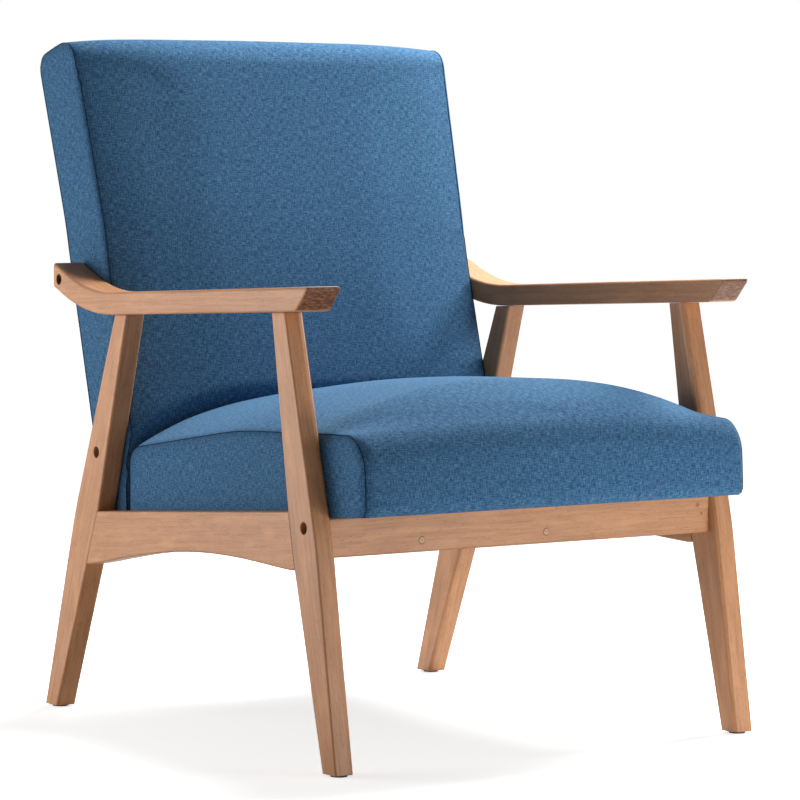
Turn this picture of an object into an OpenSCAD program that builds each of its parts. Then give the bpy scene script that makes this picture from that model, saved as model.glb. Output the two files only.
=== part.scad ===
// Accent chair: two wooden side frames carry an upholstered seat and back.
// Millimetres, +Z up, front towards -Y, origin on the floor under the middle.

/* [Side frames] */
// Clear width between the two side frames
inner_w = 559; // [500:1:640]
// Thickness of the legs and side rails
frame_t = 27.6; // [22:0.1:34]
// Height of the bend in the legs
knee_z = 262.4; // [240:0.1:285]
// Easing radius of most wooden edges
edge_r = 2.2; // [1:0.1:4]
// Rounding of the front legs' inner front edge
leg_round_r = 8.5; // [3:0.1:10]

/* [Front legs] */
// Middle of a front leg at the floor
front_foot_y = -351.1; // [-375:0.1:-330]
// Middle of a front leg at the bend
front_knee_y = -297.2; // [-310:0.1:-285]
// Middle of a front leg under the armrest
front_top_y = -243.1; // [-265:0.1:-220]
// Width of a front leg at the floor
front_foot_w = 28; // [24:0.1:36]
// Width of a front leg at the bend
front_knee_w = 54.5; // [46:0.1:62]
// Width of a front leg under the armrest
front_top_w = 28.2; // [24:0.1:36]

/* [Rear legs] */
// Middle of a rear leg at the floor, behind the seat's rear edge
rear_foot_at = 159.6; // [138:0.1:178]
// Middle of a rear leg at the bend, behind the seat's rear edge
rear_knee_at = 60.2; // [50:0.1:70]
// Middle of a rear leg under the armrest, in front of the seat's rear edge
rear_top_at = 35; // [22:0.1:57]
// Width of a rear leg at the floor
rear_foot_w = 32.2; // [26:0.1:40]
// Width of a rear leg at the bend
rear_knee_w = 59.7; // [50:0.1:68]
// Width of a rear leg under the armrest
rear_top_w = 30.2; // [26:0.1:36]

/* [Armrests] */
// Width of an armrest
arm_w = 44; // [36:0.1:56]
// How much an armrest widens inwards towards its front
arm_flare = 1.2; // [0:0.1:8]
// How much an armrest widens outwards towards its front
arm_splay = 0.4; // [0:0.1:6]
// How far the front end's outer edge stands behind its inner edge
arm_skew = 3.6; // [0:0.1:10]
// Rounding over the top of the armrest's front end
arm_nose_r = 5; // [2:0.1:8]
// Thickness of an armrest
arm_t = 28.6; // [24:0.1:34]
// Height of the armrest's underside at the front leg
arm_under_z = 532.5; // [500:0.1:560]
// Fall of the armrest towards the rear, in degrees
arm_slope = 2; // [0:0.1:4]
// Front top corner of the armrest
arm_front_y = -341.3; // [-360:0.1:-320]
// Undercut of the armrest's front end, in degrees
arm_undercut = 46; // [0:1:50]
// Where the armrest starts to bend upwards, in front of the seat's rear edge
arm_bend_at = 40; // [27:1:47]
// Radius of the bend, on the armrest's centre line
arm_bend_r = 300; // [240:1:400]
// Angle of the bend
arm_bend = 24.3; // [15:0.5:30]
// Rear end of the armrest, behind the seat's rear edge
arm_rear_at = 113; // [103:1:128]
// Rounding of the armrest's top edges
arm_round_r = 3.5; // [2:0.1:10]

/* [Rails] */
// Top of the side rail at the front leg
rail_front_z = 300.5; // [285:0.1:315]
// Top of the side rail at the rear leg
rail_rear_z = 266.5; // [255:0.1:280]
// Height of the side rail's front end
rail_h = 68; // [56:0.1:80]
// Height of the side rail's rear end
rail_rear_h = 70.5; // [56:0.1:80]
// Rise of the arch under the side rail
arch_rise = 19; // [0:0.1:26]
// Straight stretch at each end of the arch
arch_land = 12; // [10:0.1:40]
// Front face of the front rail
apron_y = -311; // [-316:0.1:-306]
// Thickness of the front rail
apron_t = 26; // [20:0.1:28]
// Underside of the front rail
apron_z = 248; // [240:0.1:256]
// Thickness of the cleat behind the front rail
cleat_t = 24; // [18:0.1:30]
// Place of the left screw in the front rail, from the middle
left_screw_at = 151; // [60:1:200]
// Place of the right screw in the front rail, from the middle
right_screw_at = 30; // [10:1:200]
// Height of those screws above the front rail's underside
apron_screw_h = 14; // [10:0.1:20]

/* [Seat] */
// Front bottom edge of the seat
seat_front_y = -380; // [-390:1:-365]
// Depth of the seat along its underside
seat_depth = 552; // [545:0.5:556]
// Height of the seat's side panels
seat_side_h = 96; // [80:0.5:110]
// Height of the seat's crown above its side seams
seat_crown = 60; // [30:0.5:70]
// How far the seat lies below the side rails' top
seat_sink = 9; // [4:0.1:14]
// Height of the seat's wooden frame
seat_frame_h = 44; // [36:0.1:50]

/* [Back] */
// Depth of the back at its foot
back_foot_t = 62.3; // [58:0.1:72]
// Height of the back's rear bottom edge
back_foot_z = 262; // [255:0.5:270]
// Recline of the back, in degrees
back_recline = 15.1; // [13:0.1:17]
// Thickness of the back at its side panels
back_t = 100; // [94:0.5:110]
// Length of the back's side panels
back_len = 607.5; // [560:0.5:660]
// Crown of the back's front
back_crown = 14; // [6:0.5:20]
// How much each side widens above the armrests
back_flare = 10; // [0:0.5:14]
// Depth of the back's stiles
stile_w = 48; // [44:0.1:50]

/* [Upholstery] */
// Thickness of the fabric with its wadding
cover_t = 2.5; // [1.5:0.1:4]
// How far the seams are drawn in from the side panels
draw_in = 3; // [1:0.1:6]
// Thickness of the boards in the seat and back frames
board_t = 22; // [18:0.1:26]
// Width of the webbing
strap_w = 50; // [40:1:60]
// Thickness of the webbing
strap_t = 1.2; // [1:0.1:2]
// Number of lengthwise straps in the seat
seat_straps = 5; // [3:1:6]
// Number of straps in the back
back_straps = 6; // [4:1:7]

/* [Fasteners] */
// Diameter of the bolts
bolt_d = 6; // [5:0.5:8]
// Diameter of the bolt heads
bolt_head_d = 11; // [10:0.1:12]
// Diameter of the recesses in the legs
leg_recess_d = 14.5; // [13:0.1:16]
// Depth of the recesses in the legs
leg_recess = 10; // [8:0.1:13]
// Diameter of the recesses in the armrests
arm_recess_d = 13.6; // [12.4:0.1:15]
// Depth of the recesses in the armrests
arm_recess = 14; // [8:0.1:18]
// Height of the front bolts
front_bolt_z = 283.5; // [278:0.1:286]
// Height of the rear bolts
rear_bolt_z = 342; // [335:0.1:355]
// Distance of the armrest bolts from the armrest's rear end
arm_bolt_in = 16.5; // [12:0.1:20]
// Diameter of the wooden dowels
dowel_d = 8; // [6:0.1:10]
// Depth of a dowel in each piece
dowel_in = 15; // [10:0.1:17]
// Diameter of the foot glides
glide_d = 20; // [16:0.1:24]
// Thickness of the foot glides
glide_t = 2.5; // [2:0.1:4]

/* [Hidden] */

wood = "burlywood";
inner_wood = "wheat";
fabric = "steelblue";
black_cloth = "dimgray";
strap_cloth = "darkolivegreen";
foam = "khaki";
steel = "silver";

// Clearance where two pieces meet, and the smaller one round pins and dowels
gap = 0.3;
fit = 0.1;
$fn = 40;

half_w = inner_w / 2;
seat_rear_y = seat_front_y + seat_depth;
rear_foot_y = seat_rear_y + rear_foot_at;
rear_knee_y = seat_rear_y + rear_knee_at;
rear_top_y = seat_rear_y - rear_top_at;
arm_bend_y = seat_rear_y - arm_bend_at;
arm_rear_y = seat_rear_y + arm_rear_at;
back_foot_y = seat_rear_y + back_foot_t;
frame_mid_x = half_w + frame_t / 2;
outer_x = half_w + frame_t;
arm_outer_x = half_w + arm_w;
front_leg = [[front_foot_y, front_foot_w], [front_knee_y, front_knee_w], [front_top_y, front_top_w]];
rear_leg = [[rear_foot_y, rear_foot_w], [rear_knee_y, rear_knee_w], [rear_top_y, rear_top_w]];

// Plane geometry
function lerp(a, b, t) = a + (b - a) * t;
function unit(v) = v / norm(v);
function flat(p) = [p[0], p[1]];
function turn(v, a) = [v[0] * cos(a) - v[1] * sin(a), v[0] * sin(a) + v[1] * cos(a)];
function sorted(v) = len(v) < 2 ? v :
    let (rest = [for (k = [1:len(v) - 1]) v[k]])
    concat(sorted([for (a = rest) if (a < v[0]) a]), [v[0]], sorted([for (a = rest) if (a >= v[0]) a]));

// Arc that rounds the corner b of the path a, b, c
function corner_arc(a, b, c, r, steps) =
    let (p = unit(a - b), q = unit(c - b), half = acos(p * q) / 2,
         hub = b + unit(p + q) * r / sin(half),
         start = b + p * r / tan(half) - hub,
         sweep = (180 - 2 * half) * sign(cross(q, p)))
    [for (k = [0:steps]) hub + turn(start, sweep * k / steps)];

// Rectangle from corner a to corner b with its own radius at each corner
function eased_box(a, b, r, steps = 3) =
    let (c = [[a[0], a[1]], [b[0], a[1]], [b[0], b[1]], [a[0], b[1]]])
    [for (i = [0:3]) each corner_arc(c[(i + 3) % 4], c[i], c[(i + 1) % 4], r[i], steps)];

// Open path; a corner is [y, z, radius or 0 where sharp, arc steps, steps to the next corner]
function smooth_path(c) =
    let (n = len(c) - 1,
         arcs = [for (i = [0:n]) c[i][2] == 0 ? [flat(c[i])] :
             corner_arc(flat(c[i - 1]), flat(c[i]), flat(c[i + 1]), c[i][2], c[i][3])])
    [for (i = [0:n]) each concat(arcs[i], i == n || c[i][4] < 2 ? [] :
        let (a = arcs[i][len(arcs[i]) - 1], b = arcs[i + 1][0])
        [for (k = [1:c[i][4] - 1]) lerp(a, b, k / c[i][4])])];

// The same path moved sideways by d, to its left
function moved_path(p, d) =
    let (n = len(p) - 1)
    [for (i = [0:n])
        let (t = unit(p[min(i + 1, n)] - p[max(i - 1, 0)]))
        p[i] + d * [-t[1], t[0]]];

// Skin over sections that run counterclockwise about their direction of travel
module loft(sections) {
    n = len(sections[0]);
    m = len(sections);
    walls = [for (k = [0:m - 2], i = [0:n - 1]) each
        let (a = k * n + i, b = k * n + (i + 1) % n)
        [[a, a + n, b + n], [a, b + n, b]]];
    first_end = [for (i = [1:n - 2]) [0, i, i + 1]];
    last_end = [for (i = [1:n - 2]) [0, i + 1, i] + (m - 1) * n * [1, 1, 1]];
    polyhedron([for (s = sections) each s], concat(walls, first_end, last_end), convexity = 4);
}

module both_sides() {
    children();
    mirror([1, 0, 0]) children();
}

module along_x(p, l, d) {
    translate(p) rotate([0, 90, 0]) cylinder(h = l, d = d);
}

// Straight line of the armrest's underside, carried on past its bend
function arm_line_z(y) = arm_under_z - (y - front_top_y) * tan(arm_slope);

// Edge of a leg at height z, bent softly at the knee; side is -1 in front and 1 behind
knee_soft = 20;
joint_r = 0.8;
function leg_edge(leg, side, z) =
    let (at = [for (s = leg) s[0] + side * s[1] / 2],
         top_z = arm_line_z(leg[2][0]),
         low = (at[1] - at[0]) / (knee_z - glide_t),
         high = (at[2] - at[1]) / (top_z - knee_z),
         h = z - knee_z)
    at[1] + (h < -knee_soft ? low * h : h > knee_soft ? high * h :
        (low + high) / 2 * h + (high - low) / (4 * knee_soft) * (h * h + knee_soft * knee_soft));
function leg_mid_y(leg, z) = (leg_edge(leg, -1, z) + leg_edge(leg, 1, z)) / 2;

// The edge that the side rail butts against is straight over the rail's height
function rail_side(leg, side, low, high, z) = z <= low || z >= high ? leg_edge(leg, side, z) :
    lerp(leg_edge(leg, side, low), leg_edge(leg, side, high), (z - low) / (high - low));

module leg_body(leg, side, rail_low, rail_top, radii) {
    levels = sorted([glide_t, rail_low, rail_top, knee_z - knee_soft, knee_z - knee_soft / 2,
        knee_z, knee_z + knee_soft / 2, knee_z + knee_soft]);
    function ring(z) =
        let (a = rail_side(leg, side, rail_low, rail_top, z), b = leg_edge(leg, -side, z))
        eased_box([half_w, min(a, b)], [outer_x, max(a, b)], radii);
    top_z = arm_line_z(leg[2][0]);
    loft(concat(
        [for (z = levels) [for (p = ring(z)) [p[0], p[1], z]]],
        [[for (p = ring(top_z)) [p[0], p[1], arm_line_z(p[1]) - gap]]]));
}

// Side rail
rail_front = [for (z = [rail_front_z - rail_h, rail_front_z])
    [leg_edge(front_leg, 1, z), z]];
rail_rear = [for (z = [rail_rear_z - rail_rear_h, rail_rear_z])
    [leg_edge(rear_leg, -1, z), z]];
seat_pitch = atan2(rail_front[1][1] - rail_rear[1][1], rail_rear[1][0] - rail_front[1][0]);
rail_len = norm(rail_rear[0] - rail_front[0]);
arch_steps = 14;

module side_rail_body() {
    land = arch_land / rail_len;
    spots = concat([0], [for (k = [0:arch_steps]) lerp(land, 1 - land, k / arch_steps)], [1]);
    function rise(t) = t <= land || t >= 1 - land ? 0 :
        arch_rise * pow(1 - pow(2 * (t - land) / (1 - 2 * land) - 1, 2), 1.2);
    function ring(t) =
        let (low = lerp(rail_front[0], rail_rear[0], t), high = lerp(rail_front[1], rail_rear[1], t),
             up = unit(high - low), h = norm(high - low))
        [for (p = eased_box([rise(t), half_w], [h, outer_x], [1, 1, 1, 1] * edge_r))
            [p[1], low[0] + up[0] * p[0], low[1] + up[1] * p[0]]];
    loft([for (t = spots) ring(t)]);
}

// Dowels that join a side rail to its legs, as [y, z] on the joint face
rail_joints = [for (end = [rail_front, rail_rear], t = [0.25, 0.75]) lerp(end[0], end[1], t)];

module along_rail(p, l, d) {
    translate([frame_mid_x, p[0], p[1]]) rotate([-seat_pitch, 0, 0]) rotate([90, 0, 0])
        cylinder(h = l, d = d, center = true);
}

module rail_dowel_holes() {
    for (p = rail_joints) along_rail(p, 2 * dowel_in + 2, dowel_d + 2 * fit);
}

// Armrest
arm_front_mid = [arm_front_y + arm_t / 2 * tan(arm_undercut),
    arm_line_z(arm_front_y + arm_t / 2 * tan(arm_undercut)) + arm_t / 2 / cos(arm_slope)];
arm_run = (arm_bend_y - arm_front_mid[0]) / cos(arm_slope);
arm_arc = arm_bend_r * arm_bend * PI / 180;
arm_end_slope = arm_bend - arm_slope;
arm_bend_end_y = arm_bend_y + arm_bend_r * (sin(arm_end_slope) + sin(arm_slope));
arm_tail = (arm_rear_y - arm_bend_end_y) / cos(arm_end_slope);
arm_len = arm_run + arm_arc + arm_tail;
arm_cut_fade = 70;

// Slope and place of the centre line at distance s from the front end
function arm_angle(s) = -arm_slope + arm_bend * min(max((s - arm_run) / arm_arc, 0), 1);
function arm_point(s) =
    let (run = min(s, arm_run), a = arm_angle(s), tail = max(s - arm_run - arm_arc, 0))
    arm_front_mid + run * [cos(arm_slope), -sin(arm_slope)]
        + arm_bend_r * [sin(a) + sin(arm_slope), cos(arm_slope) - cos(a)]
        + tail * [cos(arm_end_slope), sin(arm_end_slope)];

// Section of the armrest at distance s; the share of its edge rounding taken off at an end is cut
function arm_ring(s, cut) =
    let (a = arm_angle(s), c = arm_point(s), near = max(1 - s / arm_cut_fade, 0),
         lean = -arm_undercut * near + arm_end_slope * max(1 - (arm_len - s) / arm_cut_fade, 0),
         h = arm_t / 2, nose = s < arm_run ? arm_nose_r : edge_r, in = cut * edge_r,
         top = arm_round_r, low = edge_r, wider = max(1 - s / arm_run, 0),
         inner_x = half_w - arm_flare * wider, outer = arm_outer_x + arm_splay * wider)
    [for (p = eased_box([in - h, inner_x + in], [h - cut * nose, outer - in], [low, top, top, low]))
        let (back = arm_skew * near * (p[1] - inner_x) / (outer - inner_x))
        [p[1], c[0] + p[0] * (tan(lean) * cos(a) - sin(a)) + back,
            c[1] + p[0] * (tan(lean) * sin(a) + cos(a))]];

arm_stations = concat(
    [for (k = [0:3]) [arm_nose_r * (1 - cos(30 * k)), 1 - sin(30 * k)]],
    [for (s = [15, 35, 55, arm_cut_fade, arm_run / 2 + arm_cut_fade / 2, arm_run]) [s, 0]],
    [for (k = [1:8]) [arm_run + arm_arc * k / 8, 0]],
    [for (k = [2:-1:0]) [arm_len - edge_r * (1 - cos(45 * k)), 1 - sin(45 * k)]]);
arm_bolt = arm_point(arm_len - arm_bolt_in);

module armrest_body() {
    loft([for (s = arm_stations) arm_ring(s[0], s[1])]);
}

module arm_dowel(leg, l, d) {
    y = leg[2][0];
    translate([frame_mid_x, y, arm_line_z(y)]) cylinder(h = l, d = d, center = true);
}

// Bolts through the side frames, as [y, z, outer face, recess depth, recess diameter, end of the bolt]
washer_t = 1.2;
head_h = 3.5;
bolt_hole_d = bolt_d + 0.8;
apron_mid_y = apron_y + apron_t / 2;
nut_d = 10;
nut_in = 30;
nut_cover = 6;
insert_d = 10;
insert_l = 16;
stile_out_x = half_w - gap - draw_in - cover_t - gap;
front_bolt = [apron_mid_y, front_bolt_z, outer_x, leg_recess, leg_recess_d, half_w - nut_in - nut_d];
rear_bolt = [leg_mid_y(rear_leg, rear_bolt_z), rear_bolt_z, outer_x, leg_recess, leg_recess_d,
    stile_out_x - insert_l];
armrest_bolt = [arm_bolt[0], arm_bolt[1], arm_outer_x, arm_recess, arm_recess_d,
    stile_out_x - insert_l];

module bolt_hole(b) {
    along_x([b[5] - 2, b[0], b[1]], b[2] - b[5] + 4, bolt_hole_d);
    along_x([b[2] - b[3], b[0], b[1]], b[3] + 5, b[4]);
}

// Bolt with a domed head and a hexagon socket, its shank running to -Z from the head's seat
module socket_bolt(l) {
    difference() {
        union() {
            translate([0, 0, -l]) cylinder(h = l + head_h / 2, d = bolt_d);
            cylinder(h = head_h, d1 = bolt_head_d, d2 = bolt_head_d * 0.8);
        }
        translate([0, 0, head_h / 3]) cylinder(h = head_h, d = bolt_d * 0.75, $fn = 6);
    }
}

module side_bolt(b) {
    seat_x = b[2] - b[3] + washer_t;
    translate([seat_x, b[0], b[1]]) rotate([0, 90, 0]) socket_bolt(seat_x - b[5]);
}

module washer(d) {
    difference() {
        cylinder(h = washer_t, d = d);
        translate([0, 0, -1]) cylinder(h = washer_t + 2, d = bolt_d + 2 * fit);
    }
}

// Countersunk screw, its point at -Z and its head's face at z = 0
module wood_screw(l, d, head_d) {
    head = (head_d - d) / 2;
    translate([0, 0, -head]) cylinder(h = head, d1 = d, d2 = head_d);
    translate([0, 0, -l + d]) cylinder(h = l - d - head, d = d);
    translate([0, 0, -l]) cylinder(h = d, d1 = d / 4, d2 = d);
}

// Side frame pieces
module front_leg_piece() {
    difference() {
        leg_body(front_leg, 1, rail_front_z - rail_h, rail_front_z,
            [leg_round_r, edge_r, joint_r, edge_r]);
        bolt_hole(front_bolt);
        rail_dowel_holes();
        arm_dowel(front_leg, 2 * dowel_in + 2, dowel_d + 2 * fit);
        apron_dowel(dowel_in + 1, dowel_d + 2 * fit);
        glide_pin(front_foot_y, pin_l + 1, pin_d + 2 * fit);
    }
}
module rear_leg_piece() {
    difference() {
        leg_body(rear_leg, -1, rail_rear_z - rail_rear_h, rail_rear_z,
            [edge_r * 2, edge_r * 1.3, edge_r, edge_r]);
        bolt_hole(rear_bolt);
        rail_dowel_holes();
        arm_dowel(rear_leg, 2 * dowel_in + 2, dowel_d + 2 * fit);
        glide_pin(rear_foot_y, pin_l + 1, pin_d + 2 * fit);
    }
}
module armrest_piece() {
    difference() {
        armrest_body();
        bolt_hole(armrest_bolt);
        for (leg = [front_leg, rear_leg]) arm_dowel(leg, 2 * dowel_in + 2, dowel_d + 2 * fit);
    }
}
module side_rail_piece() {
    difference() {
        side_rail_body();
        rail_dowel_holes();
    }
}
module left_front_leg() {
    color(wood) mirror([1, 0, 0]) front_leg_piece();
}
module right_front_leg() {
    color(wood) front_leg_piece();
}
module left_rear_leg() {
    color(wood) mirror([1, 0, 0]) rear_leg_piece();
}
module right_rear_leg() {
    color(wood) rear_leg_piece();
}
module left_armrest() {
    color(wood) mirror([1, 0, 0]) armrest_piece();
}
module right_armrest() {
    color(wood) armrest_piece();
}
module left_side_rail() {
    color(wood) mirror([1, 0, 0]) side_rail_piece();
}
module right_side_rail() {
    color(wood) side_rail_piece();
}

// Front rail and its cleat, both topped off parallel to the seat
seat_z = rail_front[1][1] + (rail_front[1][0] - seat_front_y) * tan(seat_pitch) - seat_sink;
function seat_under_z(y) = seat_z - (y - seat_front_y) * tan(seat_pitch);
apron_rear_y = apron_y + apron_t;
cleat_rear_y = apron_rear_y + cleat_t;
screw_d = 4;
screw_head_d = 8.5;
apron_screw_z = apron_z + apron_screw_h;
apron_dowel_z = front_bolt_z - 22;

module bar_x(profile, l) {
    translate([-l / 2, 0, 0]) rotate([90, 0, 90]) linear_extrude(height = l) polygon(profile);
}
module apron_dowel(l, d) {
    along_x([half_w - l, apron_mid_y, apron_dowel_z], 2 * l, d);
}
plug_t = 6;
screw_deep = plug_t + 0.5;
module apron_screws(deep) {
    for (x = [-left_screw_at, right_screw_at])
        translate([x, apron_y + deep, apron_screw_z]) rotate([90, 0, 0]) children();
}
module barrel_nut_place() {
    translate([half_w - nut_in, apron_mid_y, front_bolt_z]) rotate([90, 0, 0]) children();
}
module front_rail() {
    y0 = apron_y;
    y1 = apron_rear_y;
    corners = [[y0, apron_z], [y1, apron_z], [y1, seat_under_z(y1) - gap], [y0, seat_under_z(y0) - gap]];
    profile = [for (i = [0:3]) each
        corner_arc(corners[(i + 3) % 4], corners[i], corners[(i + 1) % 4], edge_r, 4)];
    color(wood) difference() {
        bar_x(profile, inner_w);
        both_sides() {
            along_x([half_w - nut_in - nut_d - 2, front_bolt[0], front_bolt[1]],
                nut_in + nut_d + 4, bolt_hole_d);
            apron_dowel(dowel_in + 1, dowel_d + 2 * fit);
            barrel_nut_place() translate([0, 0, -apron_t])
                cylinder(h = 1.5 * apron_t - nut_cover, d = nut_d + 2 * fit);
        }
        apron_screws(screw_deep) {
            wood_screw(2 * apron_t, screw_d + 2 * fit, screw_head_d + 2 * fit);
            cylinder(h = 2 * screw_deep, d = screw_head_d + 2 * fit);
        }
    }
}
module front_rail_plugs() {
    color(wood) apron_screws(plug_t - gap) cylinder(h = plug_t, d = screw_head_d);
}
module front_cleat() {
    y0 = apron_rear_y;
    y1 = cleat_rear_y;
    low = apron_z + 2;
    color(inner_wood) difference() {
        bar_x([[y0, low], [y1, low], [y1, seat_under_z(y1) - gap], [y0, seat_under_z(y0) - gap]],
            inner_w - 2 * gap);
        apron_screws(0) wood_screw(2 * apron_t, screw_d + 2 * fit, screw_d + 3 * fit);
        seat_screw_place() cylinder(h = 120, d = screw_d + 2 * fit, center = true);
        seat_screw_place() translate([0, 0, -100 - cleat_screw_h])
            cylinder(h = 100, d = screw_head_d + 1);
    }
}
module front_rail_screws() {
    color(steel) apron_screws(screw_deep) wood_screw(apron_t + cleat_t / 2, screw_d, screw_head_d);
}
module barrel_nuts() {
    color(steel) both_sides() difference() {
        barrel_nut_place() translate([0, 0, nut_cover - apron_t / 2])
            cylinder(h = apron_t - 2 * nut_cover, d = nut_d);
        along_x([half_w - nut_in - nut_d, front_bolt[0], front_bolt[1]], 2 * nut_d, bolt_d + 2 * fit);
    }
}

// Seat, in its own frame: y runs back from its front bottom edge, z stands square to its underside
module in_seat() {
    translate([0, seat_front_y, seat_z]) rotate([-seat_pitch, 0, 0]) children();
}
function seat_to_chair(p) = [seat_front_y, seat_z] + turn(p, -seat_pitch);
function chair_to_back(p) = turn(p - [back_foot_y, back_foot_z], back_recline);

// Bulge of a cushion across its width, from 0 at the side seams to 1 in the middle
seat_power = 2.7;
back_power = 4;
cushion_cols = 14;
function bulge(u, power) = 1 - pow(abs(u), power);

seat_lean = seat_side_h * 0.07;
seat_rear_r = seat_side_h * 0.27;
seat_front_r = seat_side_h * 0.44;
seat_nose = seat_side_h * 0.125;
seat_shoulder_y = seat_side_h * 0.7;
seat_corner_r = 16;
back_rear_r = back_t * 0.22;
back_front_r = back_t * 0.32;
flare_z = back_len * 0.55;

// Outlines of the seat beside its seams (crown 0) and in the middle (crown 1), from a base height
function seat_top(crown) = seat_side_h + crown * seat_crown;
function seat_rear_round(crown) = seat_rear_r + crown * seat_crown / 15;
function seat_outline(crown, base) =
    let (top = seat_top(crown), rear = seat_depth - seat_lean, front = seat_nose + crown * 2,
         rise = crown * seat_crown)
    smooth_path(concat(
        [[lerp(seat_depth, rear, base / top), base, 0, 0, 4]],
        [[rear, top - seat_side_h / 12, seat_rear_round(crown), 4, 3]],
        [[seat_depth / 2, top + seat_side_h / 10 - rise / 12, 1.6 * seat_depth, 2, 2]],
        [[seat_shoulder_y, top + 1.5 - rise / 11, 120, 3, 2]],
        [[-front, top - 3 - rise * 0.94, seat_front_r - rise / 12, 5, base > 0 ? 4 : 3]],
        base > 0 ? [[2 - seat_nose, base, 0, 0, 0]]
            : [[2.5 - seat_nose, 0, seat_side_h / 12, 1, 0], [0, 0, 0, 0, 0]]));

// Outlines of the back; its front foot steps back behind the seat
nose_gap = 1.5;
function back_outline(crown) =
    let (top = back_len + 3 * crown, front = -back_t - crown * back_crown,
         seat_edge = seat_top(crown) - seat_side_h / 12,
         heel_z = seat_edge - seat_rear_round(crown),
         heel_y = seat_depth - seat_lean * heel_z / seat_edge + nose_gap,
         foot = chair_to_back(seat_to_chair([seat_depth + nose_gap, 0])),
         heel = chair_to_back(seat_to_chair([heel_y, heel_z])),
         nose = chair_to_back(seat_to_chair([seat_depth - 20, seat_edge + 6])))
    smooth_path([
        [2 * crown, 0, 0, 0, 8],
        [2 * crown, flare_z, 0, 0, 3],
        [2 * crown, top, back_rear_r, 4, 1],
        [front, top, back_front_r, 4, 3],
        [front, flare_z, 0, 0, 3],
        [front, nose[1] + 7, 20, 2, 1],
        [heel[0], heel[1], 10, 1, 1],
        [foot[0], foot[1] + 3, 0, 0, 0]]);

// A cushion's skin as points and faces: rows follow the outline, columns cross the width.
// Each side panel is drawn out from the seam to a ring, and closed by strips across the ring.
function cushion_points(side, middle, half, ring_out, power, corner) =
    let (n = len(side) - 1, m = cushion_cols,
         hub = (side[0] + side[n] + side[floor(n / 3)] + side[ceil(2 * n / 3)]) / 4)
    concat(
        [for (i = [0:n], j = [0:m])
            let (u = sin(-90 + 180 * j / m), p = lerp(side[i], middle[i], bulge(u, power)))
            [u * half[i], p[0] + corner_pull((1 - abs(u)) * half[i], corner, p[0]), p[1]]],
        [for (s = [-1, 1], i = [0:n])
            let (p = lerp(hub, side[i], 0.82))
            [s * (half[i] + ring_out), p[0], p[1]]]);

// How far the front is drawn back at distance d from a seam, to round the corner seen from above
function corner_pull(d, r, y) =
    let (t = 0.7 - d / max(r, 1))
    r == 0 || t <= 0 ? 0 : r * (1 - sqrt(1 - t * t)) * min(max((2 * r - y) / (2 * r), 0), 1);

function quad(a, b, c, d) = [[a, b, c], [a, c, d]];
function flipped(faces) = [for (f = faces) [f[2], f[1], f[0]]];
function across(r, n) = [for (i = [0:floor(n / 2) - 1]) each
    i + 1 == n - i - 1 ? [[r + i, r + i + 1, r + n - i]]
        : quad(r + i, r + i + 1, r + n - i - 1, r + n - i)];
function shifted(faces, d) = [for (f = faces) f + [d, d, d]];

function cushion_faces(n) =
    let (m = cushion_cols, ring = (n + 1) * (m + 1), r = ring + n + 1,
         wrap = [for (i = [0:n - 1], j = [0:m - 1]) each
             let (a = i * (m + 1) + j) quad(a, a + 1, a + m + 2, a + m + 1)],
         left = [for (i = [0:n - 1]) each
             quad(i * (m + 1), (i + 1) * (m + 1), ring + i + 1, ring + i)],
         left_low = quad(n * (m + 1), 0, ring, ring + n),
         right = [for (i = [0:n - 1]) each
             quad((i + 1) * (m + 1) + m, i * (m + 1) + m, r + i, r + i + 1)],
         right_low = quad(m, n * (m + 1) + m, r + n, r))
    concat(wrap, left, left_low, across(ring, n), right, right_low, flipped(across(r, n)));

// Solid cushion, closed by a flat base between the first and last rows
module cushion_block(side, middle, half, ring_out, power, corner = 0) {
    n = len(side) - 1;
    m = cushion_cols;
    base = [for (j = [0:m - 1]) each quad(j + 1, j, n * (m + 1) + j, n * (m + 1) + j + 1)];
    polyhedron(cushion_points(side, middle, half, ring_out, power, corner), concat(cushion_faces(n), base),
        convexity = 6);
}

// Fabric over a cushion, open at its base
module cushion_shell(side, middle, half, ring_out, power, corner = 0) {
    n = len(side) - 1;
    m = cushion_cols;
    inside = [for (h = half) h - cover_t];
    outer = cushion_points(side, middle, half, ring_out, power, corner);
    inner = cushion_points(moved_path(side, cover_t), moved_path(middle, cover_t), inside, ring_out,
        power, corner);
    c = len(outer);
    last = n * (m + 1);
    hem = concat(
        [for (j = [0:m - 1]) each quad(j + 1, j, c + j, c + j + 1)],
        [for (j = [0:m - 1]) each quad(last + j, last + j + 1, c + last + j + 1, c + last + j)],
        quad(0, last, c + last, c), quad(last + m, m, c + m, c + last + m));
    polyhedron(concat(outer, inner),
        concat(cushion_faces(n), shifted(flipped(cushion_faces(n)), c), hem), convexity = 10);
}

// Half widths at the seams, row by row
seam_x = half_w - gap - draw_in;
back_draw_in = 1;
back_seam_x = half_w - gap - back_draw_in;
function widened(z) = back_flare * max(z - flare_z, 0) / (back_len - flare_z);

seat_side = seat_outline(0, 0);
seat_middle = seat_outline(1, 0);
back_side = back_outline(0);
back_middle = back_outline(1);
frame_x = stile_out_x;
frame_low = 1;
seat_frame_rear = seat_depth - 9;
foam_base = frame_low + seat_frame_h + 2 * strap_t + gap;
foam_gap = cover_t + gap;
block_leg = 60;
tie_bolt_x = frame_x - board_t - block_leg - bolt_head_d;
tie_bolt_h = seat_frame_h / 2 + 2;
tie_bolt_l = 3 * board_t;

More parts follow.
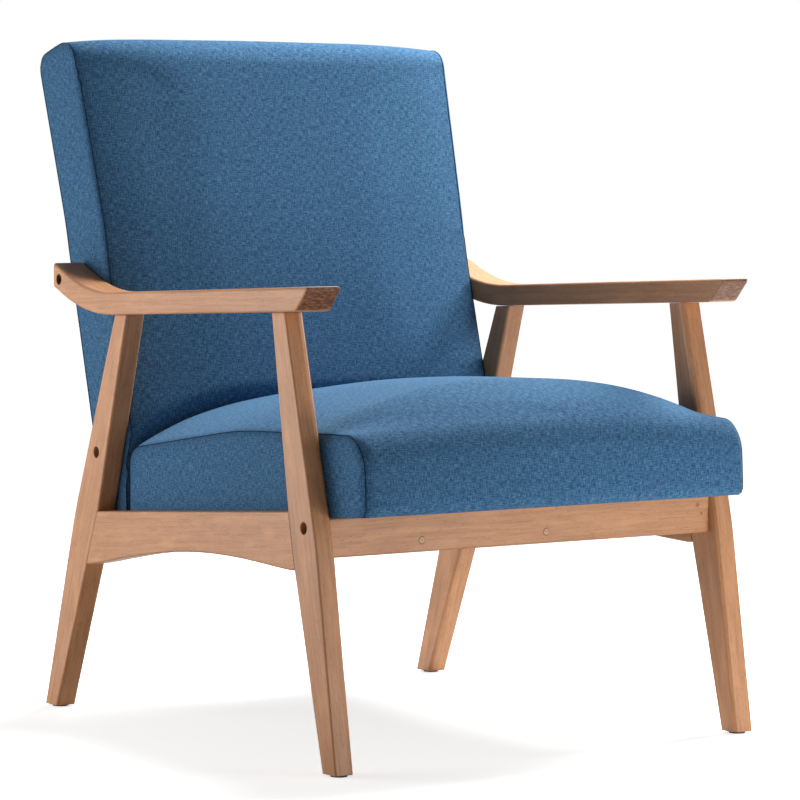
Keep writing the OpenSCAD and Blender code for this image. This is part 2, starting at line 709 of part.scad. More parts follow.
module seat_cover() {
    color(fabric) in_seat() difference() {
        cushion_shell(seat_side, seat_middle, [for (p = seat_side) seam_x], draw_in, seat_power,
            seat_corner_r);
        tie_bolt_place() cylinder(h = 60, d = bolt_hole_d, center = true);
    }
}
module seat_foam() {
    side = moved_path(seat_outline(0, foam_base), foam_gap);
    middle = moved_path(seat_outline(1, foam_base), foam_gap);
    level = [for (p = side) [p[0], max(p[1], foam_base)]];
    color(foam) in_seat()
        cushion_block(level, [for (p = middle) [p[0], max(p[1], foam_base)]],
            [for (p = side) seam_x - foam_gap], draw_in, seat_power, seat_corner_r);
}
module seat_member(x0, x1, y0, y1) {
    translate([x0, y0, frame_low]) cube([x1 - x0, y1 - y0, seat_frame_h]);
}
module tie_bolt_place() {
    both_sides()
        translate([tie_bolt_x, seat_frame_rear - board_t, tie_bolt_h]) rotate([90, 0, 0]) children();
}
cleat_mid = (apron_rear_y + cleat_t / 2 - seat_front_y) / cos(seat_pitch);
cleat_screw_h = 34;
module seat_screw_place() {
    in_seat() both_sides() translate([frame_x - board_t / 2, cleat_mid, 0]) children();
}
module right_seat_member() {
    color(inner_wood) difference() {
        in_seat() seat_member(frame_x - board_t, frame_x, 0, seat_frame_rear);
        seat_screw_place() cylinder(h = 60, d = screw_d + 2 * fit, center = true);
    }
}
module left_seat_member() {
    color(inner_wood) mirror([1, 0, 0]) difference() {
        in_seat() seat_member(frame_x - board_t, frame_x, 0, seat_frame_rear);
        seat_screw_place() cylinder(h = 60, d = screw_d + 2 * fit, center = true);
    }
}
module front_seat_member() {
    x = frame_x - board_t;
    color(inner_wood) in_seat() seat_member(-x, x, 0, board_t);
}
module rear_seat_member() {
    x = frame_x - board_t;
    color(inner_wood) in_seat() difference() {
        seat_member(-x, x, seat_frame_rear - board_t, seat_frame_rear);
        tie_bolt_place() cylinder(h = 80, d = bolt_hole_d, center = true);
    }
}
module seat_corner_blocks() {
    x = frame_x - board_t;
    color(inner_wood) in_seat() both_sides()
        for (end = [[board_t, 1], [seat_frame_rear - board_t, -1]])
            translate([0, 0, frame_low + 4]) linear_extrude(height = seat_frame_h - 8)
                polygon([[x, end[0]], [x, end[0] + end[1] * block_leg], [x - block_leg, end[0]]]);
}
module seat_webbing() {
    x = frame_x;
    level = frame_low + seat_frame_h;
    reach = seat_frame_rear;
    color(strap_cloth) in_seat() {
        for (k = [0:seat_straps - 1])
            translate([lerp(-x + 60, x - 60, k / (seat_straps - 1)) - strap_w / 2, 0, level])
                cube([strap_w, reach, strap_t]);
        for (k = [0:seat_straps - 1])
            translate([-x, lerp(70, reach - 70, k / (seat_straps - 1)) - strap_w / 2, level + strap_t])
                cube([2 * x, strap_w, strap_t]);
    }
}
module seat_dust_cover() {
    color(black_cloth) difference() {
        in_seat() translate([-frame_x, 0, 0]) cube([2 * frame_x, seat_frame_rear, frame_low]);
        seat_screw_place() cylinder(h = 60, d = screw_d + 2 * fit, center = true);
    }
}
module seat_screws() {
    head = (screw_head_d - screw_d) / 2 + fit;
    color(steel) seat_screw_place() translate([0, 0, -cleat_screw_h - head]) mirror([0, 0, 1])
        wood_screw(cleat_screw_h + seat_frame_h / 2, screw_d, screw_head_d);
}
module seat_to_back_bolts() {
    color(steel) in_seat() tie_bolt_place() translate([0, 0, washer_t]) socket_bolt(tie_bolt_l);
}

// Back, in its own frame: z runs up its rear face from its bottom edge, y points to the rear
module in_back() {
    translate([0, back_foot_y, back_foot_z]) rotate([-back_recline, 0, 0]) children();
}
back_board_t = 3;
stile_rear = -cover_t - gap - back_board_t;
stile_front = stile_rear - stile_w;
stile_low = 0;
stile_high = back_len - 14;
back_foam_rear = stile_front - strap_t - gap;

module back_cover() {
    half = [for (p = back_side) back_seam_x + widened(p[1])];
    color(fabric) difference() {
        in_back() cushion_shell(back_side, back_middle, half, back_draw_in, back_power);
        for (b = [rear_bolt, armrest_bolt])
            both_sides() along_x([b[5], b[0], b[1]], half_w, bolt_hole_d);
        in_seat() tie_bolt_place() translate([0, 0, -tie_bolt_l]) cylinder(h = tie_bolt_l, d = bolt_hole_d);
    }
}
module back_foam() {
    function outline(crown) =
        let (top = back_len + 3 * crown - foam_gap,
             front = -back_t - crown * back_crown + foam_gap, low = 120 + crown * seat_crown)
        smooth_path([
            [back_foam_rear, low - 24, 0, 0, 6],
            [back_foam_rear, flare_z, 0, 0, 3],
            [back_foam_rear, top, 0, 0, 2],
            [front, top, back_front_r - foam_gap / 2, 4, 3],
            [front, flare_z, 0, 0, 3],
            [front, low, 14, 2, 1],
            [back_foam_rear - 8, low - 20, 0, 0, 0]]);
    side = outline(0);
    color(foam) in_back() cushion_block(side, outline(1),
        [for (p = side) back_seam_x + widened(p[1]) - foam_gap], back_draw_in - gap, back_power);
}
module stile_piece() {
    difference() {
        in_back() translate([stile_out_x - board_t, stile_front, stile_low])
            cube([board_t, stile_w, stile_high - stile_low]);
        for (b = [rear_bolt, armrest_bolt])
            along_x([stile_out_x - insert_l - 1, b[0], b[1]], insert_l + 2, insert_d + 2 * fit);
    }
}
module left_back_stile() {
    color(inner_wood) mirror([1, 0, 0]) stile_piece();
}
module right_back_stile() {
    color(inner_wood) stile_piece();
}
module back_rail(low, depth, h) {
    x = stile_out_x - board_t;
    translate([-x, stile_rear - depth, low]) cube([2 * x, depth, h]);
}
module back_top_rail() {
    color(inner_wood) in_back() back_rail(stile_high - board_t, stile_w, board_t);
}
module back_lumbar_rail() {
    color(inner_wood) in_back() back_rail(back_len * 0.45, stile_w / 2, board_t);
}
bottom_rail_h = 44;
module back_bottom_rail() {
    color(inner_wood) difference() {
        in_back() translate([0, -stile_w + board_t, 0]) back_rail(stile_low, board_t, bottom_rail_h);
        in_seat() tie_bolt_place() translate([0, 0, -tie_bolt_l - 2])
            cylinder(h = tie_bolt_l, d = insert_d + 2 * fit);
    }
}
module back_webbing() {
    low = 110;
    high = stile_high - 40;
    color(strap_cloth) in_back() for (k = [0:back_straps - 1])
        translate([-stile_out_x, stile_front - strap_t,
            lerp(low, high, k / (back_straps - 1)) - strap_w / 2])
            cube([2 * stile_out_x, strap_t, strap_w]);
}
module back_board() {
    color("peru") in_back() translate([-stile_out_x, stile_rear, 0])
        cube([2 * stile_out_x, back_board_t, stile_high]);
}
module back_dust_cover() {
    color(black_cloth) in_back() translate([-stile_out_x, stile_front, stile_low - 1])
        cube([2 * stile_out_x, stile_w, 1]);
}

// Fasteners
module front_leg_bolts() {
    color(steel) both_sides() side_bolt(front_bolt);
}
module rear_leg_bolts() {
    color(steel) both_sides() side_bolt(rear_bolt);
}
module armrest_bolts() {
    color(steel) both_sides() side_bolt(armrest_bolt);
}
module bolt_washers() {
    color(steel) {
        both_sides() for (b = [front_bolt, rear_bolt, armrest_bolt])
            translate([b[2] - b[3], b[0], b[1]]) rotate([0, 90, 0]) washer(bolt_head_d + 1);
        in_seat() tie_bolt_place() washer(bolt_head_d + 4);
    }
}
module insert_sleeve() {
    difference() {
        cylinder(h = insert_l, d = insert_d);
        translate([0, 0, -1]) cylinder(h = insert_l + 2, d = bolt_d + 2 * fit);
    }
}
module threaded_inserts() {
    color(steel) {
        both_sides() for (b = [rear_bolt, armrest_bolt])
            translate([stile_out_x - insert_l, b[0], b[1]]) rotate([0, 90, 0]) insert_sleeve();
        in_seat() tie_bolt_place() translate([0, 0, -tie_bolt_l + 1]) insert_sleeve();
    }
}
module armrest_dowels() {
    color(inner_wood) both_sides() for (leg = [front_leg, rear_leg]) arm_dowel(leg, 2 * dowel_in, dowel_d);
}
module side_rail_dowels() {
    color(inner_wood) both_sides() for (p = rail_joints) along_rail(p, 2 * dowel_in, dowel_d);
}
module front_rail_dowels() {
    color(inner_wood) both_sides() apron_dowel(dowel_in, dowel_d);
}
pin_d = 3;
pin_l = 12;
module glide_pin(y, l, d) {
    translate([frame_mid_x, y, 0]) cylinder(h = glide_t + l, d = d);
}
module foot_glides() {
    color("dimgray") both_sides() for (y = [front_foot_y, rear_foot_y]) {
        translate([frame_mid_x, y, 0]) cylinder(h = glide_t, d = glide_d);
        glide_pin(y, pin_l, pin_d);
    }
}

left_front_leg();
right_front_leg();
left_rear_leg();
right_rear_leg();
left_armrest();
right_armrest();
left_side_rail();
right_side_rail();
front_rail();
front_rail_plugs();
front_cleat();
left_seat_member();
right_seat_member();
front_seat_member();
rear_seat_member();
seat_corner_blocks();
seat_webbing();
seat_foam();
seat_cover();
seat_dust_cover();
left_back_stile();
right_back_stile();
back_top_rail();
back_lumbar_rail();
back_bottom_rail();
back_webbing();
back_board();
back_foam();
back_cover();
back_dust_cover();
front_leg_bolts();
rear_leg_bolts();
armrest_bolts();
seat_to_back_bolts();
bolt_washers();
barrel_nuts();
threaded_inserts();
front_rail_screws();
seat_screws();
armrest_dowels();
side_rail_dowels();
front_rail_dowels();
foot_glides();
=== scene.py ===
"""Accent chair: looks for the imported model, made to match the photograph. Metres, as in the model."""
import math
import bpy
import bmesh
import numpy as np
from mathutils import Matrix, Vector
from mathutils.kdtree import KDTree

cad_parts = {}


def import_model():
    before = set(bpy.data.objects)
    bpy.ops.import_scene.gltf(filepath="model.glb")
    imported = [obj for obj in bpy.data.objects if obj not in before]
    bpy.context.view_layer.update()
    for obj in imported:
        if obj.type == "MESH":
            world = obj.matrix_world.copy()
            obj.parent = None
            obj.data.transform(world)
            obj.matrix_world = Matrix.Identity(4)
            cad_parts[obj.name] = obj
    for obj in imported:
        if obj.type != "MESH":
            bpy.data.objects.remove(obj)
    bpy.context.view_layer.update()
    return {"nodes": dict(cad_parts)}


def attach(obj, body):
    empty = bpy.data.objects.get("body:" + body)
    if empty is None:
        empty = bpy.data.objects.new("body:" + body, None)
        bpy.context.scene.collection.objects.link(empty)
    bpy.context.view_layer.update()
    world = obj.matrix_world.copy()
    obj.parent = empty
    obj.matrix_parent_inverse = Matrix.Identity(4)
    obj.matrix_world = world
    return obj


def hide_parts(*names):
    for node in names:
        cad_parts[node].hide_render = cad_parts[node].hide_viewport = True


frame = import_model()
MM = 0.001

# Camera solved from the legs in the photograph: its place, its directions in radians, its lens in mm
CAM_AT = (-2.444102, -3.740089, 0.669401)
CAM_AZ, CAM_EL, CAM_ROLL = 0.58327, -0.05849, -0.00233
CAM_LENS, CAM_SENSOR, CAM_REACH = 157.911, 36, 50

# The white stage: the world's faint light, and the floor's size, grey and own light
WORLD_LEVEL = 0.08
FLOOR_R, FLOOR_GREY = 12, 0.86
LIFT_NEAR, LIFT_FAR = 0.68, 1.0     # the floor's own light, seen by the camera only
LIFT_FROM, LIFT_TO = 1.3, 3.0       # distances from the chair between which it rises

# Lamps: name, place, the point each one faces, width and height, watts, colour
WHITE, COOL = (1, 1, 1), (0.95, 0.99, 1.0)
LAMPS = (
    ("right", (1.6, 0.15, 1.55), (0, 0, 0.45), (0.6, 0.6), 46, COOL),
    ("front", (1.2, -1.9, 0.7), (0, 0, 0.45), (0.7, 0.7), 4, COOL),
    ("low_front", (0.35, -1.2, 0.12), (0, -0.3, 0.28), (0.8, 0.2), 3.6, WHITE),
    ("left_rear", (-2.2, 1.8, 0.5), (0, 0, 0.45), (1.2, 1.2), 27, WHITE),
    ("left", (-2.2, 0.6, 0.5), (0, 0, 0.35), (1.0, 0.6), 12, WHITE),
    ("above", (0.75, 0.3, 2.2), (0, -0.1, 0.45), (0.8, 0.8), 52, COOL))

# Seat frame in the chair: its front bottom edge, its pitch, its sizes (mm and degrees, as in the part)
SEAT_Y, SEAT_Z, SEAT_PITCH = -380.0, 299.96, 4.176
SEAT_DEPTH, SEAT_SIDE_H, SEAT_CROWN = 552.0, 96.0, 60.0
SEAT_LEAN, SEAT_REAR_R, SEAT_FRONT_R, SEAT_NOSE = 6.72, 25.92, 42.24, 12.0
SEAT_CORNER_R, SEAT_TOP_R = 16.0, 1.6 * SEAT_DEPTH
SEAT_SHOULDER_Y, SEAT_SHOULDER_R = 67.2, 120
SEAT_ARCH, SEAT_EDGE_DROP = SEAT_SIDE_H / 10, SEAT_SIDE_H / 12
# Back frame in the chair: its rear bottom edge, its recline, its sizes
BACK_Y, BACK_Z, BACK_RECLINE = 234.3, 262.0, 15.1
BACK_T, BACK_LEN, BACK_CROWN, BACK_FLARE = 100.0, 607.5, 14.0, 10.0
BACK_REAR_R, BACK_TOP_R, BACK_FRONT_R = BACK_T * 0.23, 1.8 * BACK_T, BACK_T * 0.32
FLARE_Z = BACK_LEN * 0.55           # the back grows wider above this height
NOSE_GAP, NOSE_R, HEEL_R = 1.5, 20, 10   # between seat and back; radii of the back's lower edges
# Across the chair: half the space between the side frames, and the gap that the covers leave there
HALF_W, COVER_GAP = 279.5, 0.3
FLANK = HALF_W - COVER_GAP
SEAT_DRAW, BACK_DRAW = 3.0, 0.5     # how far the seams lie within the flanks
SEAT_POWER, BACK_POWER = 2.7, 4.0   # the higher, the flatter a cushion's top across its width
CORNER_TURN = 0.7                   # share of its radius over which a rounded front corner turns
COLUMN_EASE = 0.15                  # how much the cells narrow towards the side seams
PANEL_EASE = 5                      # distance over which a side panel comes out from its seams

ARC_STEPS = 24                      # points on each arc and on each stretch between arcs
CELL = 6.5                          # size of the cloth's cells
FEWEST_CELLS = 8                    # along any stretch of a cushion's outline
FOOT_H = CELL * 0.6                 # fabric below this height is fixed to the frame

# Cloth simulation, and how far (metres) it may move each cover
CLOTH_FRAMES, CLOTH_PRESSURE = 20, 0.8
SEAT_BULGE, BACK_BULGE = 0.002, 0.0015
SEAM_CREASE = 0.45                  # how sharp the seams stay when the cells are made finer

# All lengths from here on are metres, unless a comment says otherwise
# Each cover's seams: depth of the groove, height of the ridge beside it, size of the puckers, and
# how far the fabric's face falls towards the seam
SEAT_SEAM = (0.0018, 0.0006, 0.0008, 0.0025)
BACK_SEAM = (0.0013, 0.0004, 0.0006, 0.0065)
GROOVE_W, RIDGE_AT, RIDGE_W, FALL_REACH = 0.004, 0.009, 0.005, 0.022
STITCH_W = 0.003                    # puckers and wrinkles start this far from the seam
PUCKER_PITCH, PUCKER_REACH = 0.016, 0.012
SWELL, SWELL_PITCH, SWELL_FROM = 0.0007, 0.11, 0.03   # slow unevenness of the faces away from seams
# Wrinkles at each cushion's left corner: centre, reach and height, then what both share
SEAT_WRINKLES = ((-0.276, -0.385, 0.36), 0.03, 0.0012)
BACK_WRINKLES = ((-0.285, 0.26, 0.83), 0.04, 0.0003)
WRINKLE_WAVE, WRINKLE_DEPTH = 0.0024, 0.010
# Seams are drawn in by a share of their full depth: the seat's more on its front edge, and the back's
# fully on its front below its top edge, but less at the rear and at the right
SEAT_SHARES, SEAT_EDGE_Y = (0.2, 0.4), 0.012
BACK_REAR_SHARE, BACK_RIGHT_SHARE = 0.5, 0.25
BACK_FACE_Y, BACK_FACE_TOP = -0.075, 0.585
SEAM_STEP = 0.002                   # spacing of the points along a seam that the fabric is measured from
SEAM_SHADE_REACH = 0.006             # painted shade darkens the fabric this close to a seam
CORD_R, CORD_PROUD = 0.00055, 0.0002   # a dark cord along a seam: painted shade in its crease

ARM_TOP = 0.56                      # the covers keep within their flanks below the armrests' top
BACK_SHIFT, SHIFT_Z, SHIFT_FADE = 0.0025, 0.61, 0.012   # the back's cover stands to the right above them

FOAM_INSET, FOAM_WELD = 0.009, 0.0006
SEAT_FOAM = (1000, 47.7)            # rearmost and lowest places in the cushion's own frame, mm
BACK_FOAM = (-55.3, 122)

# Seeded waves: their number, the range of their frequencies, and that of their phases
SEED, WAVES, WAVE_RANGE, PHASES = 7, 12, (2.5, 6), 6.28


# Camera, light and stage
def look_matrix(az, el, roll):
    fwd = Vector((math.sin(az) * math.cos(el), math.cos(az) * math.cos(el), math.sin(el)))
    right = Vector((math.cos(az), -math.sin(az), 0))
    up = right.cross(fwd)
    c, s = math.cos(roll), math.sin(roll)
    return Matrix((c * right + s * up, c * up - s * right, -fwd)).transposed().to_4x4()


def link(name, data):
    obj = bpy.data.objects.new(name, data)
    bpy.context.collection.objects.link(obj)
    return obj


def camera():
    data = bpy.data.cameras.new("camera")
    data.lens, data.sensor_width = CAM_LENS, CAM_SENSOR
    data.clip_end = CAM_REACH
    cam = link("camera", data)
    cam.matrix_world = look_matrix(CAM_AZ, CAM_EL, CAM_ROLL)
    cam.location = CAM_AT
    bpy.context.scene.camera = cam


def area_light(name, at, aim, size, watts, color):
    data = bpy.data.lights.new(name, "AREA")
    data.shape, data.size, data.size_y = "RECTANGLE", size[0], size[1]
    data.energy, data.color = watts, color
    lamp = link(name, data)
    lamp.location = at
    lamp.rotation_euler = (Vector(aim) - Vector(at)).to_track_quat("-Z", "Y").to_euler()


def seen_white(nodes, links, background):
    """Mixes the world's background with plain white for camera, glossy and transmission rays."""
    path = nodes.new("ShaderNodeLightPath")
    white = nodes.new("ShaderNodeBackground")
    white.inputs["Color"].default_value = (1, 1, 1, 1)
    white.inputs["Strength"].default_value = 1.0
    a, b = nodes.new("ShaderNodeMath"), nodes.new("ShaderNodeMath")
    a.operation = b.operation = "MAXIMUM"
    links.new(path.outputs["Is Camera Ray"], a.inputs[0])
    links.new(path.outputs["Is Glossy Ray"], a.inputs[1])
    links.new(a.outputs[0], b.inputs[0])
    links.new(path.outputs["Is Transmission Ray"], b.inputs[1])
    mix = nodes.new("ShaderNodeMixShader")
    links.new(b.outputs[0], mix.inputs[0])
    links.new(background, mix.inputs[1])
    links.new(white.outputs[0], mix.inputs[2])
    return mix.outputs[0]


def world():
    w = bpy.data.worlds.new("world")
    bpy.context.scene.world = w
    w.use_nodes = True
    nodes, links = w.node_tree.nodes, w.node_tree.links
    background = nodes["Background"]
    background.inputs["Color"].default_value = (1, 1, 1, 1)
    background.inputs["Strength"].default_value = WORLD_LEVEL
    links.new(seen_white(nodes, links, background.outputs[0]), nodes["World Output"].inputs["Surface"])


def floor():
    """A wide matt floor, lifted towards white for the camera, the more the further from the chair."""
    mesh = bpy.data.meshes.new("floor")
    r = FLOOR_R
    mesh.from_pydata([(-r, -r, 0), (r, -r, 0), (r, r, 0), (-r, r, 0)], [], [(0, 1, 2, 3)])
    obj = link("floor", mesh)
    m = bpy.data.materials.new("floor")
    m.use_nodes = True
    bsdf = m.node_tree.nodes["Principled BSDF"]
    bsdf.inputs["Base Color"].default_value = (FLOOR_GREY, FLOOR_GREY, FLOOR_GREY, 1)
    bsdf.inputs["Roughness"].default_value = 0.9
    bsdf.inputs["Specular IOR Level"].default_value = 0.1
    nodes, links = m.node_tree.nodes, m.node_tree.links
    away = nodes.new("ShaderNodeVectorMath")
    away.operation = "LENGTH"
    links.new(nodes.new("ShaderNodeTexCoord").outputs["Object"], away.inputs[0])
    lift = nodes.new("ShaderNodeMapRange")
    levels = {"From Min": LIFT_FROM, "From Max": LIFT_TO, "To Min": LIFT_NEAR, "To Max": LIFT_FAR}
    for key, v in levels.items():
        lift.inputs[key].default_value = v
    links.new(away.outputs["Value"], lift.inputs["Value"])
    shown = nodes.new("ShaderNodeMath")
    shown.operation = "MULTIPLY"
    links.new(nodes.new("ShaderNodeLightPath").outputs["Is Camera Ray"], shown.inputs[0])
    links.new(lift.outputs["Result"], shown.inputs[1])
    bsdf.inputs["Emission Color"].default_value = (1, 1, 1, 1)
    links.new(shown.outputs[0], bsdf.inputs["Emission Strength"])
    mesh.materials.append(m)


# Plane geometry, in millimetres
def unit(v):
    return v / np.hypot(v[0], v[1])


def turned(v, degrees):
    a = math.radians(degrees)
    return np.array([v[0] * math.cos(a) - v[1] * math.sin(a), v[0] * math.sin(a) + v[1] * math.cos(a)])


def corner_arc(a, b, c, r):
    """Points of the arc with radius r that rounds the corner b between its neighbours a and c."""
    p, q = unit(a - b), unit(c - b)
    half = math.degrees(math.acos(float(p @ q))) / 2
    hub = b + unit(p + q) * r / math.sin(math.radians(half))
    start = b + p * r / math.tan(math.radians(half)) - hub
    sweep = (180 - 2 * half) * np.sign(q[0] * p[1] - q[1] * p[0])
    return [hub + turned(start, sweep * k / ARC_STEPS) for k in range(ARC_STEPS + 1)]


def rounded_path(corners):
    """Corners are (y, z, radius). Returns the dense path and, per corner, the index of its middle."""
    n = len(corners) - 1
    arcs = []
    for i, (y, z, r) in enumerate(corners):
        b = np.array([y, z], float)
        if r == 0:
            arcs.append([b])
        else:
            a, c = (np.array(corners[k][:2], float) for k in (i - 1, i + 1))
            arcs.append(corner_arc(a, b, c, r))
    path, middles = [], []
    for i, arc in enumerate(arcs):
        middles.append(len(path) + len(arc) // 2)
        path += arc
        if i < n:
            ends = arc[-1], arcs[i + 1][0]
            path += [ends[0] + (ends[1] - ends[0]) * k / ARC_STEPS for k in range(1, ARC_STEPS)]
    return np.array(path), middles


def path_length(path):
    return float(np.hypot(*np.diff(path, axis=0).T).sum())


def respaced(side, middle, start, stop, cells):
    """Points of both paths between two indices, at even shares of the side path's length."""
    a, b = side[start:stop + 1], middle[start:stop + 1]
    run = np.concatenate([[0], np.cumsum(np.hypot(*np.diff(a, axis=0).T))])
    at = np.array([k / cells for k in range(cells + 1)]) * run[-1]
    return [np.stack([np.interp(at, run, path[:, k]) for k in (0, 1)], 1) for path in (a, b)]


def seat_to_chair(p):
    return np.array([SEAT_Y, SEAT_Z]) + turned(p, -SEAT_PITCH)


def chair_to_back(p):
    return turned(np.array(p) - [BACK_Y, BACK_Z], BACK_RECLINE)


def seat_outline(crown):
    """The seat from its rear foot over its top to its front foot, at its seams (0) or its middle (1)."""
    rise, rear, front = crown * SEAT_CROWN, SEAT_DEPTH - SEAT_LEAN, SEAT_NOSE + crown * 2
    top = SEAT_SIDE_H + rise
    return rounded_path([
        (SEAT_DEPTH, 0, 0),                                          # rear foot
        (rear, top - SEAT_EDGE_DROP, SEAT_REAR_R + rise / 15),       # rear upper edge
        (SEAT_DEPTH / 2, top + SEAT_ARCH - rise / 12, SEAT_TOP_R),   # the top's slight arch
        (SEAT_SHOULDER_Y, top + 1.5 - rise / 11, SEAT_SHOULDER_R),   # where the top starts to fall
        (-front, top - 3 - rise * 0.94, SEAT_FRONT_R - rise / 12),   # front upper edge
        (2.5 - SEAT_NOSE, 0, SEAT_EDGE_DROP),                        # front lower edge
        (0, 0, 0)])                                                  # front foot


def back_outline(crown):
    """The back from its rear foot over its top to its front foot, which keeps clear of the seat's rear."""
    rise, rear, front = crown * SEAT_CROWN, 2 * crown, -BACK_T - crown * BACK_CROWN
    top = BACK_LEN + 1 + 2 * crown
    edge = SEAT_SIDE_H * 11 / 12 + rise
    heel_z = edge - SEAT_REAR_R - rise / 15
    heel_y = SEAT_DEPTH - SEAT_LEAN * heel_z / edge + NOSE_GAP
    foot = chair_to_back(seat_to_chair([SEAT_DEPTH + NOSE_GAP, 0]))
    heel = chair_to_back(seat_to_chair([heel_y, heel_z]))
    nose = chair_to_back(seat_to_chair([SEAT_DEPTH - 20, edge + 6]))
    return rounded_path([
        (rear, 0, 0),                        # rear foot
        (rear, top, BACK_REAR_R),            # rear upper edge
        (front / 2, top + 1, BACK_TOP_R),    # the top's slight arch
        (front, top, BACK_FRONT_R),          # front upper edge
        (front, nose[1] + 7, NOSE_R),        # front lower edge, above the seat
        (heel[0], heel[1], HEEL_R),          # behind the seat's rear upper edge
        (foot[0], foot[1] + 3, 0)])          # front foot, behind the seat


def frame_matrix(y, z, tilt):
    """Places a cushion's own frame in the chair, in millimetres."""
    return Matrix.Translation(Vector((0, y, z))) @ Matrix.Rotation(-math.radians(tilt), 4, "X")


def in_frame(place, points):
    """Points in metres, given in a cushion's own frame; its place is in millimetres."""
    inverse = np.array(place.inverted())
    return points @ inverse[:3, :3].T + inverse[:3, 3] * MM


def step(value, at, width):
    """Rises smoothly from 0 to 1 where value passes at."""
    return 0.5 + 0.5 * np.tanh((value - at) / width / 2)


def between(low, high, share):
    return low + (high - low) * share


# Cushions
class Cushion:
    """Fabric over a cushion: a wrap with a seam on either side, and two side panels."""

    def __init__(self, outline, splits, draw, power, corner=0, flare=False):
        (side, mids), (middle, _) = outline(0), outline(1)
        rear, front = (mids[k] for k in splits)
        last = len(side) - 1
        upright = self.cells(side[:rear + 1])
        along = self.cells(side[rear:front + 1])
        stretches = ((0, rear, upright), (rear, front, along), (front, last, upright))
        parts = [respaced(side, middle, *stretch) for stretch in stretches]
        self.side, self.middle = (
            np.concatenate([part[k][:-1] for part in parts[:-1]] + [parts[-1][k]]) for k in (0, 1))
        self.upright, self.along = upright, along
        self.draw, self.power, self.corner, self.flare = draw, power, corner, flare
        self.verts, self.faces = [], []
        self.build()

    @staticmethod
    def cells(path):
        return max(int(round(path_length(path) / CELL)), FEWEST_CELLS)

    def half(self, z):
        """Half the distance between the seams at a height."""
        extra = BACK_FLARE * max(z - FLARE_Z, 0) / (BACK_LEN - FLARE_Z) if self.flare else 0
        return FLANK - self.draw + extra

    def pull(self, d, y):
        """How far a rounded front corner sets the fabric back, at the distance d from its seam."""
        r = self.corner
        t = CORNER_TURN - d / r if r else 0
        if t <= 0:
            return 0
        return r * (1 - math.sqrt(1 - t * t)) * min(max((2 * r - y) / (2 * r), 0), 1)

    def build(self):
        rows, cols = len(self.side), int(round(2 * FLANK / CELL))
        us = [-1 + 2 * k / cols for k in range(cols + 1)]
        us = [(1 - COLUMN_EASE) * u + COLUMN_EASE * math.sin(math.pi / 2 * u) for u in us]
        for s, m in zip(self.side, self.middle):
            half = self.half(s[1])
            for u in us:
                p = s + (m - s) * (1 - abs(u) ** self.power)
                self.verts.append((u * half, p[0] + self.pull((1 - abs(u)) * half, p[0]), p[1]))
        width = cols + 1
        for i in range(rows - 1):
            for j in range(cols):
                a = i * width + j
                self.faces.append((a + width, a + width + 1, a + 1, a))
        self.seams = [[i * width for i in range(rows)], [i * width + cols for i in range(rows)]]
        for sign, seam in zip((-1, 1), self.seams):
            self.side_panel(sign, seam)

    def side_panel(self, sign, seam):
        """A grid spanned between the seam's rear, top and front stretches and a straight lower edge."""
        nt, ns = self.upright, self.along
        v = [np.array(self.verts[k]) for k in seam]
        left, top, right = v[:nt + 1], v[nt:nt + ns + 1], v[nt + ns:][::-1]
        ids = {}
        for i in range(ns + 1):
            s = i / ns
            low = left[0] + (right[0] - left[0]) * s
            for j in range(nt + 1):
                t = j / nt
                if i == 0:
                    ids[i, j] = seam[j]
                elif j == nt:
                    ids[i, j] = seam[nt + i]
                elif i == ns:
                    ids[i, j] = seam[len(seam) - 1 - j]
                else:
                    p = ((1 - s) * left[j] + s * right[j] + (1 - t) * low + t * top[i]
                         - (1 - s) * (1 - t) * left[0] - s * (1 - t) * right[0]
                         - (1 - s) * t * left[-1] - s * t * right[-1])
                    near = min(s * ns, (1 - s) * ns, (1 - t) * nt) * CELL
                    p[0] += sign * self.draw * (1 - math.exp(-near / PANEL_EASE))
                    ids[i, j] = len(self.verts)
                    self.verts.append(tuple(p))
        for i in range(ns):
            for j in range(nt):
                quad = (ids[i, j], ids[i + 1, j], ids[i + 1, j + 1], ids[i, j + 1])
                self.faces.append(quad[::-1] if sign > 0 else quad)


def to_object(name, cushion, place):
    mesh = bpy.data.meshes.new(name)
    mesh.from_pydata([tuple(place @ Vector(v) * MM) for v in cushion.verts], [], cushion.faces)
    mesh.validate()
    mesh.update()
    return link(name, mesh)


def positions(mesh):
    co = np.empty(len(mesh.vertices) * 3)
    mesh.vertices.foreach_get("co", co)
    return co.reshape(-1, 3)


def set_positions(mesh, co):
    mesh.vertices.foreach_set("co", co.ravel())
    mesh.update()


def normals(mesh):
    no = np.empty(len(mesh.vertices) * 3)
    mesh.vertex_normals.foreach_get("vector", no)
    return no.reshape(-1, 3)


def applied(obj):
    """Replaces an object's mesh by what its modifiers make of it."""
    depsgraph = bpy.context.evaluated_depsgraph_get()
    mesh = bpy.data.meshes.new_from_object(obj.evaluated_get(depsgraph))
    obj.modifiers.clear()
    obj.data = mesh
    return mesh


